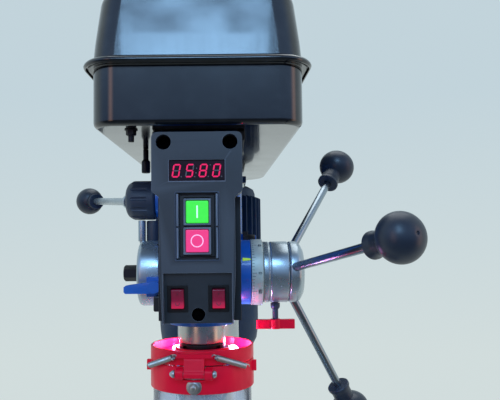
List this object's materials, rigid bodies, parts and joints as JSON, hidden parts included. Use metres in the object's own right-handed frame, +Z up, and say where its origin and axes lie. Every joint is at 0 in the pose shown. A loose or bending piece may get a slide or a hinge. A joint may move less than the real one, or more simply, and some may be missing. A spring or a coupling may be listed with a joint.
{
  "type": "drill press",
  "caption": "Bench drill press with belt cover, front control panel, three-spoke quill feed, hinged chuck guard and tilting table on a column.",
  "frame": {"origin": "on the underside of the base, straight below the spindle axis", "axes": "+X to the operator's right, +Y from the operator towards the column, +Z up along the spindle"},
  "size_m": [0.3332, 0.5435, 0.93],
  "materials": {
    "blue_paint": "hammered gloss enamel",
    "black_paint": "gloss powder coat",
    "grey_paint": "satin enamel",
    "red_paint": "gloss enamel",
    "cast_iron": "ground flat, oiled",
    "steel": "ground and polished",
    "chrome": "bright",
    "dial": "satin, engraved scale",
    "black_plastic": "fine moulded grain",
    "gloss_black": "polished",
    "red_plastic": "translucent, lit",
    "green_plastic": "satin",
    "clear_plastic": "clear polycarbonate",
    "belt_rubber": "matte"
  },
  "bodies": {
    "frame": {"base_casting": "blue_paint", "column_flange": "blue_paint", "column_tube": "steel", "rack_collar": "blue_paint", "head_casting": "blue_paint", "spring_cap": "chrome", "spring_nut": "black_paint", "return_spring": "steel", "belt_pan": "black_paint", "lid_hinge_pin": "steel", "drive_belt": "belt_rubber", "motor_housing": "grey_paint", "control_box": "black_plastic", "control_face": "black_plastic", "display_window": "gloss_black"},
    "rack_carrier": {"lift_rack": "steel"},
    "bracket": {"table_bracket": "blue_paint"},
    "table": {"table": "cast_iron"},
    "bracket_lock": {"bracket_lock_lever": "black_plastic"},
    "crank": {"crank_pinion": "steel", "crank_arm": "black_paint", "crank_knob": "gloss_black"},
    "quill": {"quill": "steel", "quill_bearing": "steel", "quill_nose_nut": "black_paint", "guard_ring": "red_paint", "guard_spring_left": "steel", "guard_spring_right": "steel"},
    "guard": {"guard_band": "red_paint", "guard_shield": "clear_plastic", "guard_pin": "chrome"},
    "spindle": {"spindle": "steel", "chuck_body": "chrome"},
    "chuck_sleeve": {"chuck_sleeve": "chrome"},
    "chuck_jaw_1": {"chuck_jaw_1": "steel"},
    "chuck_jaw_2": {"chuck_jaw_2": "steel"},
    "chuck_jaw_3": {"chuck_jaw_3": "steel"},
    "feed": {"feed_shaft": "steel", "feed_hub": "chrome", "feed_spoke_1": "chrome", "feed_knob_1": "gloss_black", "feed_spoke_2": "chrome", "feed_knob_2": "gloss_black", "feed_spoke_3": "chrome", "feed_knob_3": "gloss_black"},
    "depth_stop": {"depth_ring": "dial", "depth_collar": "chrome"},
    "depth_lock": {"depth_lock_wing": "red_paint"},
    "quill_lock": {"quill_lock_lever": "blue_paint"},
    "speed_lever": {"speed_hub": "black_plastic", "speed_rod": "chrome", "speed_ball": "gloss_black"},
    "lid": {"belt_lid": "black_paint"},
    "spindle_drive": {"spindle_pulley": "steel"},
    "motor_drive": {"motor_pulley": "steel", "motor_rotor": "steel"},
    "start_button": {"start_button": "green_plastic"},
    "stop_button": {"stop_button": "red_plastic"},
    "rocker_left": {"rocker_left": "red_plastic"},
    "rocker_right": {"rocker_right": "red_plastic"}
  },
  "joints": [
    {"name": "table_swing", "type": "hinge", "parent": "frame", "child": "rack_carrier", "pos_m": [0, 0.16, 0.3], "axis": [0, 0, 1], "range_deg": [-90, 90]},
    {"name": "table_lift", "type": "slide", "parent": "rack_carrier", "child": "bracket", "axis": [0, 0, 1], "range_m": [-0.16, 0.11]},
    {"name": "crank_turn", "type": "hinge", "parent": "bracket", "child": "crank", "pos_m": [0, 0.2158, 0.296], "axis": [1, 0, 0], "range_deg": [-764, 525.5]},
    {"name": "table_tilt", "type": "hinge", "parent": "bracket", "child": "table", "pos_m": [0, 0.044, 0.3], "axis": [0, 1, 0], "range_deg": [-45, 45]},
    {"name": "bracket_lock_turn", "type": "hinge", "parent": "bracket", "child": "bracket_lock", "pos_m": [-0.08, 0.16, 0.294], "axis": [1, 0, 0], "range_deg": [0, 60]},
    {"name": "quill_feed", "type": "slide", "parent": "frame", "child": "quill", "axis": [0, 0, -1], "range_m": [0, 0.065], "stiffness_N_per_m": 600, "springref_m": -0.09},
    {"name": "feed_turn", "type": "hinge", "parent": "frame", "child": "feed", "pos_m": [0.06, 0.03, 0.668], "axis": [1, 0, 0], "range_deg": [0, 355]},
    {"name": "guard_flip", "type": "hinge", "parent": "quill", "child": "guard", "pos_m": [-0.00496, -0.05156, 0.585], "axis": [-0.9954, 0.0958, 0], "range_deg": [0, 95], "deforming": ["guard_spring_left", "guard_spring_right"]},
    {"name": "spindle_spin", "type": "hinge", "parent": "quill", "child": "spindle", "pos_m": [0, 0, 0.6], "axis": [0, 0, 1], "continuous": true},
    {"name": "spindle_pulley_spin", "type": "hinge", "parent": "frame", "child": "spindle_drive", "pos_m": [0, 0, 0.829], "axis": [0, 0, 1], "continuous": true},
    {"name": "motor_spin", "type": "hinge", "parent": "frame", "child": "motor_drive", "pos_m": [-0.003, 0.282, 0.7], "axis": [0, 0, 1], "continuous": true},
    {"name": "chuck_turn", "type": "hinge", "parent": "spindle", "child": "chuck_sleeve", "pos_m": [0, 0, 0.56], "axis": [0, 0, 1], "range_deg": [0, 720]},
    {"name": "chuck_jaw_1_slide", "type": "slide", "parent": "spindle", "child": "chuck_jaw_1", "axis": [-0.2588, 0, -0.9659], "range_m": [0, 0.009]},
    {"name": "chuck_jaw_2_slide", "type": "slide", "parent": "spindle", "child": "chuck_jaw_2", "axis": [0.1294, -0.2241, -0.9659], "range_m": [0, 0.009]},
    {"name": "chuck_jaw_3_slide", "type": "slide", "parent": "spindle", "child": "chuck_jaw_3", "axis": [0.1294, 0.2241, -0.9659], "range_m": [0, 0.009]},
    {"name": "depth_set", "type": "hinge", "parent": "feed", "child": "depth_stop", "pos_m": [0.06, 0.03, 0.668], "axis": [1, 0, 0], "range_deg": [0, 340]},
    {"name": "depth_lock_turn", "type": "hinge", "parent": "depth_stop", "child": "depth_lock", "pos_m": [0.071, 0.03, 0.62], "axis": [0, 0, 1], "range_deg": [0, 90]},
    {"name": "quill_lock_turn", "type": "hinge", "parent": "frame", "child": "quill_lock", "pos_m": [-0.042, -0.02, 0.657], "axis": [0, 1, 0], "range_deg": [0, 50]},
    {"name": "speed_change", "type": "hinge", "parent": "frame", "child": "speed_lever", "pos_m": [-0.06, 0.04, 0.741], "axis": [1, 0, 0], "range_deg": [-30, 90]},
    {"name": "lid_open", "type": "hinge", "parent": "frame", "child": "lid", "pos_m": [0, 0.369, 0.845], "axis": [-1, 0, 0], "range_deg": [0, 75]},
    {"name": "start_press", "type": "slide", "parent": "frame", "child": "start_button", "axis": [0, 1, 0], "range_m": [0, 0.003], "stiffness_N_per_m": 500, "springref_m": -0.001},
    {"name": "stop_press", "type": "slide", "parent": "frame", "child": "stop_button", "axis": [0, 1, 0], "range_m": [0, 0.003], "stiffness_N_per_m": 500, "springref_m": -0.001},
    {"name": "rocker_left_tip", "type": "hinge", "parent": "frame", "child": "rocker_left", "pos_m": [-0.017, -0.067, 0.6503], "axis": [-1, 0, 0], "range_deg": [0, 18]},
    {"name": "rocker_right_tip", "type": "hinge", "parent": "frame", "child": "rocker_right", "pos_m": [0.017, -0.067, 0.6503], "axis": [-1, 0, 0], "range_deg": [0, 18]}
  ],
  "couplings": [
    {"joint": "crank_turn", "follows": "table_lift", "rad_per_m": 83.333},
    {"joint": "feed_turn", "follows": "quill_feed", "rad_per_m": 95.238},
    {"joint": "spindle_pulley_spin", "follows": "spindle_spin", "ratio": 1},
    {"joint": "motor_spin", "follows": "spindle_spin", "ratio": 2.3913},
    {"joint": "chuck_jaw_1_slide", "follows": "chuck_turn", "m_per_rad": 0.000716},
    {"joint": "chuck_jaw_2_slide", "follows": "chuck_turn", "m_per_rad": 0.000716},
    {"joint": "chuck_jaw_3_slide", "follows": "chuck_turn", "m_per_rad": 0.000716}
  ]
}
